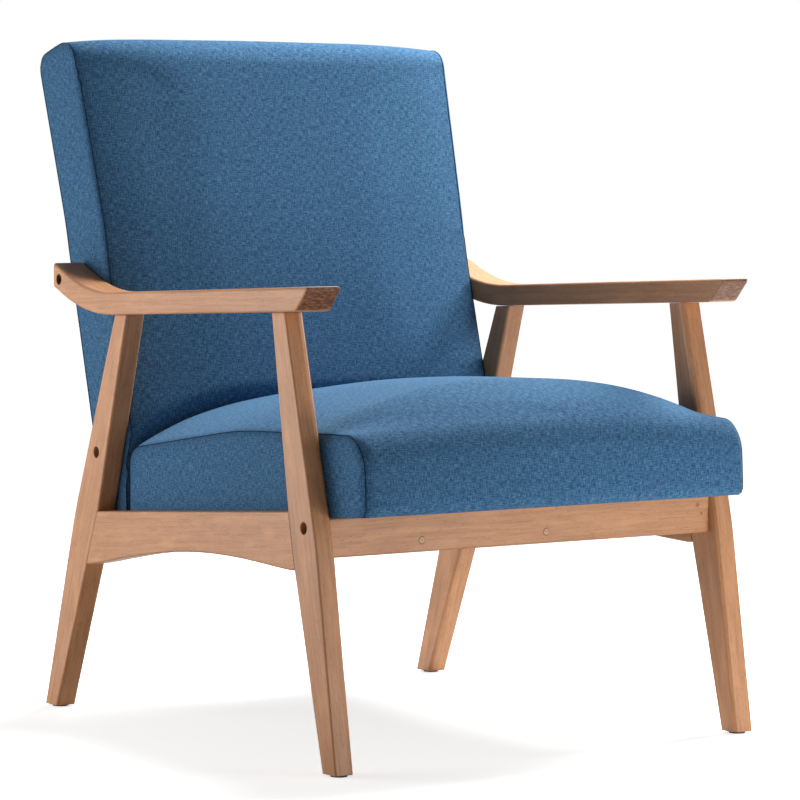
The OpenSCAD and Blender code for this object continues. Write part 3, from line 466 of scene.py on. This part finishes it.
def cloth(obj, pinned, cap):
    """Inflates a cushion's fabric a little between its pinned seams and caps how far it moves."""
    before = positions(obj.data)
    group = obj.vertex_groups.new(name="pin")
    group.add(sorted(pinned), 1, "REPLACE")
    mod = obj.modifiers.new("cloth", "CLOTH")
    s = mod.settings
    s.quality, s.mass, s.air_damping = 6, 0.3, 1.5
    s.tension_stiffness = s.compression_stiffness = 18
    s.shear_stiffness, s.bending_stiffness = 6, 0.6
    s.use_pressure, s.uniform_pressure_force = True, CLOTH_PRESSURE
    s.vertex_group_mass = "pin"
    s.effector_weights.gravity = 0
    mod.collision_settings.use_collision = False
    scene = bpy.context.scene
    scene.frame_start, scene.frame_end = 1, CLOTH_FRAMES
    mod.point_cache.frame_start, mod.point_cache.frame_end = 1, CLOTH_FRAMES
    for f in range(1, CLOTH_FRAMES + 1):
        scene.frame_set(f)
    mesh = applied(obj)
    scene.frame_set(1)
    moved = positions(mesh) - before
    far = np.linalg.norm(moved, axis=1, keepdims=True)
    set_positions(mesh, before + moved * (cap * np.tanh(far / cap) / np.maximum(far, 1e-9)))
    obj.vertex_groups.clear()


def hold_seams(mesh, seams):
    """Keeps the seams' edges from being smoothed away by the subdivision."""
    wanted = {tuple(sorted(pair)) for line in seams for pair in zip(line[:-1], line[1:])}
    crease = mesh.attributes.new("crease_edge", "FLOAT", "EDGE")
    for e in mesh.edges:
        if tuple(sorted(e.vertices)) in wanted:
            crease.data[e.index].value = SEAM_CREASE


def smooth_noise(p, scale, seed):
    """Sum of seeded waves over points p (metres): gentle, repeatable unevenness, mostly within -1 and 1."""
    rng = np.random.default_rng(seed)
    total = np.zeros(len(p))
    for _ in range(WAVES):
        d = rng.normal(size=3)
        along = p @ (d / np.linalg.norm(d)) / scale
        total += np.sin(along * rng.uniform(*WAVE_RANGE) + rng.uniform(0, PHASES))
    return total / (WAVES / 2)


def tree_of(points):
    tree = KDTree(len(points))
    for k, p in enumerate(points):
        tree.insert(p, k)
    tree.balance()
    return tree


def seam_distance(points, seam_points):
    """Each point's distance from the seams, and the seam's nearest point."""
    tree = tree_of(seam_points)
    found = [tree.find(p) for p in points]
    return np.array([f[2] for f in found]), np.array([seam_points[f[1]] for f in found])


def dense(points):
    out = []
    for a, b in zip(points[:-1], points[1:]):
        n = max(int(np.linalg.norm(b - a) / SEAM_STEP), 1)
        out += [a + (b - a) * k / n for k in range(n)]
    return out + [points[-1]]


def hump(distance, width):
    return np.exp(-(distance / width) ** 2)


def tailored(obj, seam_lines, seam, soft, wrinkles, place):
    """Draws the fabric in at its seams, lifts a ridge beside them, and puckers it across them."""
    groove, ridge, pucker, fall = seam
    centre, reach, height = wrinkles
    mesh = obj.data
    co, no = positions(mesh), normals(mesh)
    d, near = seam_distance(co, [p for line in seam_lines for p in dense(line)])
    shape = soft(near) * (ridge * hump(d - RIDGE_AT, RIDGE_W) - groove * hump(d, GROOVE_W))
    beside = 1 - hump(d, STITCH_W)
    shape += pucker * smooth_noise(near, PUCKER_PITCH, SEED) * np.exp(-d / PUCKER_REACH) * beside
    shape += SWELL * smooth_noise(co, SWELL_PITCH, SEED + 1) * (1 - np.exp(-d / SWELL_FROM))
    away = np.linalg.norm(co - np.array(centre), axis=1)
    waves = np.sin(near[:, 2] / WRINKLE_WAVE) * np.exp(-d / WRINKLE_DEPTH)
    shape += height * hump(away, reach) * waves * beside
    rearwards = np.array(place.to_3x3().col[1])
    drop = soft(near) * fall * np.exp(-d / FALL_REACH)
    set_positions(mesh, co + no * shape[:, None] + rearwards * drop[:, None])
    # keeps how near each point lies to a seam, for the painted shade there
    painted_seam_shade = mesh.attributes.new("painted_seam_shade", "FLOAT", "POINT")
    painted_seam_shade.data.foreach_set("value", np.exp(-d / SEAM_SHADE_REACH))


def settled(mesh):
    """Moves a cover to the right where it rises above the armrests, and keeps it between them below."""
    co = positions(mesh)
    co[:, 0] += BACK_SHIFT * step(co[:, 2], SHIFT_Z, SHIFT_FADE)
    flank = FLANK * MM
    below = co[:, 2] < ARM_TOP
    co[below, 0] = np.clip(co[below, 0], -flank, flank)
    set_positions(mesh, co)


def cloth_uv(mesh, turn_back):
    """Maps the weave by the way a face looks, in metres, in the cushion's own frame."""
    uv = mesh.uv_layers.new(name="weave")
    planes = ((1, 2), (0, 2), (0, 1))
    for poly in mesh.polygons:
        n = turn_back @ poly.normal
        a, b = planes[max(range(3), key=lambda k: abs(n[k]))]
        for li in poly.loop_indices:
            p = turn_back @ mesh.vertices[mesh.loops[li].vertex_index].co
            uv.data[li].uv = (p[a], p[b])


def seam_cord(name, line, material):
    """A dark cord along points that lie on the fabric: painted shade in a seam's crease."""
    curve = bpy.data.curves.new(name, "CURVE")
    curve.dimensions, curve.bevel_depth, curve.bevel_resolution = "3D", CORD_R, 1
    spline = curve.splines.new("POLY")
    spline.points.add(len(line) - 1)
    for point, p in zip(spline.points, line):
        point.co = (*p, 1)
    obj = link(name, curve)
    curve.materials.append(material)
    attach(obj, "root")


def seam_cords(name, mesh, seam_lines, material):
    co, no = positions(mesh), normals(mesh)
    tree = tree_of(co)
    for side, line in zip(("left", "right"), seam_lines):
        found = [tree.find(p)[1] for p in line]
        seam_cord(f"{name}_{side}_seam", [co[k] + no[k] * CORD_PROUD for k in found], material)


def foam_pad(name, node, cushion, mesh, place, rear, low):
    """The foam: the cushion's form drawn in under its cover, cut at its frame (rear and low, mm)."""
    co = in_frame(place, positions(mesh) - normals(mesh) * FOAM_INSET)
    co[:, 1] = np.minimum(co[:, 1], rear * MM)
    co[:, 2] = np.maximum(co[:, 2], low * MM)
    form = bmesh.new()
    verts = [form.verts.new(place @ Vector(p / MM) * MM) for p in co]
    for face in cushion.faces:
        form.faces.new([verts[k] for k in face])
    bmesh.ops.remove_doubles(form, verts=form.verts, dist=FOAM_WELD)
    bmesh.ops.dissolve_degenerate(form, edges=form.edges, dist=FOAM_WELD)
    bmesh.ops.holes_fill(form, edges=[e for e in form.edges if e.is_boundary], sides=0)
    bmesh.ops.recalc_face_normals(form, faces=form.faces)
    data = bpy.data.meshes.new(name)
    form.to_mesh(data)
    form.free()
    pad = link(name, data)
    data.materials.append(plain(name, srgb(226, 214, 176), 0.95, scale=300, spec=0.1))
    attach(pad, "root")
    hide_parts(node)


def upholster(kind, cushion, place, bulge, seam, soft, wrinkles, foam, material, crease_shade):
    """Makes a cushion's cover, foam and seam cords, in place of the frame's own cover and foam."""
    name, node = f"{kind}_cushion", f"{kind}_cover"
    obj = to_object(name, cushion, place)
    mesh = obj.data
    rows = len(cushion.side)
    width = cushion.seams[0][1] - cushion.seams[0][0]
    pinned = set(cushion.seams[0]) | set(cushion.seams[1])
    pinned |= set(range(width)) | set(range((rows - 1) * width, rows * width))
    pinned |= {v for v in range(rows * width, len(mesh.vertices)) if cushion.verts[v][2] < FOOT_H}
    cloth(obj, pinned, bulge)
    mesh = obj.data
    foam_pad(f"{name}_foam", f"{kind}_foam", cushion, mesh, place, *foam)
    hold_seams(mesh, cushion.seams)
    seam_lines = [positions(mesh)[line] for line in cushion.seams]
    finer = obj.modifiers.new("finer", "SUBSURF")
    finer.levels = finer.render_levels = 1
    mesh = applied(obj)
    tailored(obj, seam_lines, seam, soft, wrinkles, place)
    settled(mesh)
    mesh.polygons.foreach_set("use_smooth", [True] * len(mesh.polygons))
    mesh.materials.clear()
    mesh.materials.append(material)
    cloth_uv(mesh, place.to_3x3().inverted())
    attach(obj, "root")
    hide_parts(node)
    seam_cords(name, mesh, seam_lines, crease_shade)


# Materials
def srgb(r, g, b):
    """A colour in levels of 255, as the linear one that the shaders take."""
    shares = [c / 255 for c in (r, g, b)]
    return tuple(((c + 0.055) / 1.055) ** 2.4 if c > 10 / 255 else c / 12.92 for c in shares) + (1,)


def scaled(color, by):
    return tuple(min(c * by, 1) for c in color[:3]) + (1,)


# Fabric: dark, middle and light yarns, and the dark cord that paints the shade in its seams' creases
YARNS = (srgb(44, 77, 109), srgb(63, 102, 137), srgb(88, 132, 168))
SEAM_SHADE_BLUE, SHEEN_BLUE = srgb(24, 48, 72), srgb(170, 205, 235)
THREAD, SLUB = 0.00085, 0.0011      # pitch of the weave; width of its thicker yarns
SLUB_LONG = 0.14                    # a yarn's changes along itself, as a share of those across it
WEFT_AT = (3.1, 7.7, 0)             # keeps the two directions of yarn from showing the same pattern
CLOUDS = 26                         # slow changes of tone per metre
WAVE_LENGTH = 0.314                 # length of one band of the wave texture at a scale of 1
# Wood: middle, light and dark tone, of the parts that show, of the plugs and of those inside
SHOWN_WOOD = (srgb(183, 126, 84), srgb(200, 143, 99), srgb(118, 70, 40))
PLUG_WOOD = (srgb(196, 156, 124), *SHOWN_WOOD[1:])
INNER_WOOD = (srgb(212, 182, 138), srgb(228, 205, 168), srgb(160, 122, 80))
# Each layer of the wood's grain: waves per metre along it and in both directions across
BEND, RINGS, FIBRES, PORES = (5, 22, 22), (6, 210, 210), (24, 760, 760), (150, 1100, 1100)
DRIFT, PATCHES, END_MOTTLE = (4, 16, 16), (16, 60, 60), (160, 420, 700)
BEND_SIZE, PATCH_AT = (0.007, 0.006), (1.7, 4.1, 2.3)
EDGE_ROUND, EDGE_SHADE_AND_WEAR = 0.0016, 0.55   # the shown radius of the wood's edges, and how much darker they are drawn: painted shade where shadow lines fall at joints, and burnished wear
# Knots: place and radius
ARM_KNOTS = [((-0.3, -0.11, 0.5635), 0.004)]
RAIL_KNOTS = [((0.262, -0.311, 0.283), 0.004), ((0.268, -0.311, 0.272), 0.003)]
# Turns of the grain from local X, in radians
ALONG_X, ALONG_Y, UPRIGHT = (0, 0, 0), (0, 0, math.pi / 2), (0, math.pi / 2, 0)
ARM_SLOPE, RAIL_SLOPE = 0.035, 0.073
LEG_LEANS = {"front_leg": 0.2, "rear_leg": -0.36}


class Shader:
    """Short hands for building a node tree."""

    def __init__(self, name):
        self.material = bpy.data.materials.new(name)
        self.material.use_nodes = True
        self.nodes, self.links = self.material.node_tree.nodes, self.material.node_tree.links
        self.bsdf = self.nodes["Principled BSDF"]

    def feed(self, socket, value):
        if hasattr(value, "is_output"):
            self.links.new(value, socket)
        else:
            socket.default_value = value

    def node(self, kind, values=(), **settings):
        n = self.nodes.new("ShaderNode" + kind)
        for k, v in settings.items():
            setattr(n, k, v)
        for k, v in dict(values).items():
            self.feed(n.inputs[k], v)
        return n

    def set(self, **values):
        for key, v in values.items():
            self.feed(self.bsdf.inputs[key.replace("_", " ")], v)

    def mapping(self, vector, scales, turn=(0, 0, 0), at=(0, 0, 0)):
        values = {"Vector": vector, "Scale": scales, "Rotation": turn, "Location": at}
        return self.node("Mapping", values).outputs["Vector"]

    def noise(self, vector, scales, detail, rough=0.5, at=(0, 0, 0)):
        """Noise with its own number of waves per metre in each direction."""
        values = {"Vector": self.mapping(vector, scales, at=at), "Scale": 1.0, "Detail": detail,
                  "Roughness": rough}
        return self.node("TexNoise", values).outputs["Fac"]

    def ramp(self, factor, low, high):
        return self.node("MapRange", {"Value": factor, "From Min": low, "From Max": high}).outputs["Result"]

    def math(self, operation, a, b=0.0):
        return self.node("Math", {0: a, 1: b}, operation=operation).outputs[0]

    def times(self, a, b):
        return self.math("MULTIPLY", a, b)

    def plus(self, a, b):
        return self.math("ADD", a, b)

    def mix(self, factor, a, b):
        return self.node("MixRGB", {"Fac": factor, "Color1": a, "Color2": b}).outputs["Color"]

    def toned(self, tone, color, factor, share):
        """Mixes a share of the color into the tone where factor is high."""
        return self.mix(self.times(factor, share), tone, color)

    def bump(self, height, distance, strength, **more):
        values = {"Height": height, "Distance": distance, "Strength": strength, **more}
        return self.node("Bump", values).outputs["Normal"]


def fabric(name, dark, mid, light):
    """Woven cloth: yarns of uneven tone in both directions, small flecks, slow clouds, and painted shade
    along the seams.
    """
    s = Shader(name)
    uv = s.node("UVMap", uv_map="weave").outputs["UV"]
    warp = s.noise(uv, (1 / SLUB, SLUB_LONG / SLUB, 1), 1.0)
    weft = s.noise(uv, (SLUB_LONG / SLUB, 1 / SLUB, 1), 1.0, at=WEFT_AT)
    fleck = s.noise(uv, (0.8 / THREAD, 0.8 / THREAD, 1), 1.0)
    cloud = s.noise(uv, (CLOUDS, CLOUDS, 1), 3.0)
    threads = s.plus(s.times(s.plus(warp, weft), 0.46), s.times(fleck, 0.08))
    tone = s.mix(s.ramp(threads, 0.39, 0.50), dark, mid)
    tone = s.mix(s.ramp(threads, 0.49, 0.61), tone, light)
    tone = s.toned(tone, dark, cloud, 0.2)
    # painted shade: the fabric is darkened towards its seams, where their creases are in shade
    near = s.node("Attribute", attribute_name="painted_seam_shade").outputs["Fac"]
    tone = s.toned(tone, dark, near, 0.45)
    waves = {"Vector": uv, "Scale": WAVE_LENGTH / THREAD / 2}
    across, along = (s.node("TexWave", waves, bands_direction=axis).outputs["Fac"] for axis in "XY")
    height = s.plus(s.times(s.plus(across, along), 0.3), threads)
    s.set(Base_Color=tone, Roughness=0.92, Specular_IOR_Level=0.12, Sheen_Weight=0.15,
          Sheen_Tint=SHEEN_BLUE, Sheen_Roughness=0.3, Normal=s.bump(height, 0.0005, 0.55))
    return s.material


def wood(name, turn, tones, seed, knots=(), rough=0.42, end_grain=0.0):
    """Fine straight grain along local X after turn (radians), with pores, slow colour drift and knots."""
    base, light, dark = tones
    s = Shader(name)
    place = s.node("TexCoord").outputs["Object"]
    grain_at = s.mapping(place, (1, 1, 1), turn, (seed, seed * 0.7, seed * 1.3))
    bend = s.noise(grain_at, BEND, 2.0)
    sway = s.node("CombineXYZ", {axis: s.times(bend, size) for axis, size in zip("YZ", BEND_SIZE)})
    warped = s.node("VectorMath", {0: grain_at, 1: sway.outputs[0]}, operation="ADD").outputs[0]
    rings = s.noise(warped, RINGS, 3.0, 0.6)
    fine = s.noise(warped, FIBRES, 2.0, 0.6)
    pores = s.noise(warped, PORES, 1.0)
    drift = s.noise(grain_at, DRIFT, 2.0)
    patch = s.noise(warped, PATCHES, 2.0, at=PATCH_AT)
    tone = s.mix(s.ramp(rings, 0.35, 0.68), light, base)
    tone = s.toned(tone, dark, s.ramp(fine, 0.5, 0.75), 0.3)
    tone = s.toned(tone, dark, s.ramp(pores, 0.60, 0.72), 0.4)
    tone = s.toned(tone, dark, s.ramp(drift, 0.5, 0.75), 0.3)
    tone = s.toned(tone, scaled(light, 1.22), s.ramp(patch, 0.5, 0.72), 0.45)
    for at, radius in knots:
        away = s.node("VectorMath", {0: place, 1: at}, operation="DISTANCE").outputs["Value"]
        spot = s.math("SUBTRACT", 1.0, s.ramp(away, radius * 0.3, radius))
        tone = s.toned(tone, dark, spot, 0.7)
    round_edge = s.node("Bevel", {"Radius": EDGE_ROUND}, samples=4).outputs["Normal"]
    face = s.node("NewGeometry").outputs["Normal"]
    turned_by = s.node("VectorMath", {0: round_edge, 1: face}, operation="DOT_PRODUCT").outputs["Value"]
    # darker edges: partly painted shade of the shadow lines at joints, partly burnished wear
    tone = s.toned(tone, dark, s.ramp(turned_by, 0.998, 0.94), EDGE_SHADE_AND_WEAR)
    if end_grain:
        looks = s.node("Mapping", {"Vector": face, "Rotation": turn}, vector_type="NORMAL")
        ends = s.math("ABSOLUTE", s.node("SeparateXYZ", {0: looks.outputs["Vector"]}).outputs[0])
        mottle = s.noise(place, END_MOTTLE, 2.0)
        end_tone = s.mix(s.ramp(mottle, 0.42, 0.85), scaled(dark, 0.6), base)
        tone = s.toned(tone, end_tone, s.ramp(ends, 0.5, 0.68), end_grain)
    s.set(Base_Color=tone, Roughness=s.plus(s.times(fine, 0.15), rough - 0.07), Specular_IOR_Level=0.38,
          Normal=s.bump(s.plus(fine, pores), 0.0002, 0.12, Normal=round_edge))
    return s.material


def plain(name, color, rough, metal=0.0, speckle=0.15, scale=900, spec=0.5):
    """One colour with fine specks."""
    s = Shader(name)
    spots = s.noise(s.node("TexCoord").outputs["Object"], (scale,) * 3, 3.0)
    s.set(Base_Color=s.mix(spots, color, scaled(color, 1 - speckle)), Roughness=rough, Metallic=metal,
          Specular_IOR_Level=spec, Normal=s.bump(spots, 0.0002, 0.2))
    return s.material


def webbing_material():
    s = Shader("webbing")
    place = s.node("TexCoord").outputs["Object"]
    cells = s.node("TexChecker", {"Vector": place, "Scale": 420.0}).outputs["Fac"]
    s.set(Base_Color=s.mix(cells, srgb(96, 78, 52), srgb(70, 56, 38)), Roughness=0.9,
          Normal=s.bump(cells, 0.0004, 0.5))
    return s.material


def dress(node, material):
    obj = frame["nodes"][node]
    if not obj.material_slots:
        obj.data.materials.append(material)
    for slot in obj.material_slots:
        slot.material = material


def leg_turn(lean):
    """Grain that runs up a leg which leans from upright, in radians."""
    upright = Matrix.Rotation(math.pi / 2, 3, "Y")
    return tuple((upright @ Matrix.Rotation(lean, 3, "X")).to_euler())


def paint_frame():
    turns = {piece: leg_turn(lean) for piece, lean in LEG_LEANS.items()}
    turns["armrest"] = (ARM_SLOPE, 0, math.pi / 2)
    turns["side_rail"] = (RAIL_SLOPE, 0, math.pi / 2)
    for k, side in enumerate(("left", "right")):
        for m, (piece, turn) in enumerate(turns.items()):
            look = wood(f"wood_{side}_{piece}", turn, SHOWN_WOOD, seed=0.37 * (k * 4 + m) + 0.2,
                        knots=ARM_KNOTS if (piece, side) == ("armrest", "left") else (),
                        end_grain=1.0 if piece == "armrest" else 0.0)
            dress(f"{side}_{piece}", look)
    dress("front_rail", wood("wood_front_rail", ALONG_X, SHOWN_WOOD, seed=3.1, knots=RAIL_KNOTS))
    dress("front_rail_plugs", wood("wood_plugs", ALONG_X, PLUG_WOOD, seed=4.4))
    inner = {
        ALONG_X: ("front_cleat", "front_seat_member", "rear_seat_member", "seat_corner_blocks",
                  "back_top_rail", "back_lumbar_rail", "back_bottom_rail", "front_rail_dowels"),
        ALONG_Y: ("left_seat_member", "right_seat_member", "side_rail_dowels"),
        UPRIGHT: ("left_back_stile", "right_back_stile", "armrest_dowels", "back_board")}
    for turn, names in inner.items():
        for n in names:
            dress(n, wood("inner_" + n, turn, INNER_WOOD, seed=len(n) * 0.31, rough=0.7))


def paint_fittings():
    bolt = plain("bolt_steel", srgb(92, 74, 54), 0.42, 0.85)
    zinc = plain("zinc", srgb(168, 168, 170), 0.35, 1.0)
    lining = plain("lining", srgb(34, 34, 37), 0.95, scale=1500, speckle=0.4, spec=0.1)
    looks = (
        (bolt, ("front_leg_bolts", "rear_leg_bolts", "armrest_bolts")),
        (zinc, ("seat_to_back_bolts", "bolt_washers", "barrel_nuts", "threaded_inserts",
                "front_rail_screws", "seat_screws")),
        (plain("glide", srgb(38, 37, 36), 0.6), ("foot_glides",)),
        (lining, ("seat_dust_cover", "back_dust_cover")),
        (webbing_material(), ("seat_webbing", "back_webbing")))
    for look, names in looks:
        for n in names:
            dress(n, look)


# The chair
def cushions():
    blue = fabric("fabric", *YARNS)
    # the seams' dark cord: painted shade in their creases
    crease_shade = plain("seam", SEAM_SHADE_BLUE, 0.9, speckle=0.3, spec=0.1)
    seat = Cushion(seat_outline, (1, 4), SEAT_DRAW, SEAT_POWER, SEAT_CORNER_R)
    back = Cushion(back_outline, (1, 3), BACK_DRAW, BACK_POWER, flare=True)
    seat_place = frame_matrix(SEAT_Y, SEAT_Z, SEAT_PITCH)
    back_place = frame_matrix(BACK_Y, BACK_Z, BACK_RECLINE)

    def seat_softness(p):
        """The share of their full depth to which the seams at points p are drawn in."""
        q = in_frame(seat_place, p)
        return between(*SEAT_SHARES, step(-q[:, 1], -SEAT_EDGE_Y, 0.004))

    def back_softness(p):
        q = in_frame(back_place, p)
        front = step(-q[:, 1], -BACK_FACE_Y, 0.004) * step(-q[:, 2], -BACK_FACE_TOP, 0.008)
        left = step(-q[:, 0], 0, 0.05)
        return between(BACK_REAR_SHARE, 1, front) * between(BACK_RIGHT_SHARE, 1, left)

    upholster("seat", seat, seat_place, SEAT_BULGE, SEAT_SEAM, seat_softness, SEAT_WRINKLES,
              SEAT_FOAM, blue, crease_shade)
    upholster("back", back, back_place, BACK_BULGE, BACK_SEAM, back_softness, BACK_WRINKLES,
              BACK_FOAM, blue, crease_shade)


camera()
world()
floor()
for lamp in LAMPS:
    area_light(*lamp)
bpy.context.scene.view_settings.view_transform = "Standard"
paint_frame()
paint_fittings()
cushions()
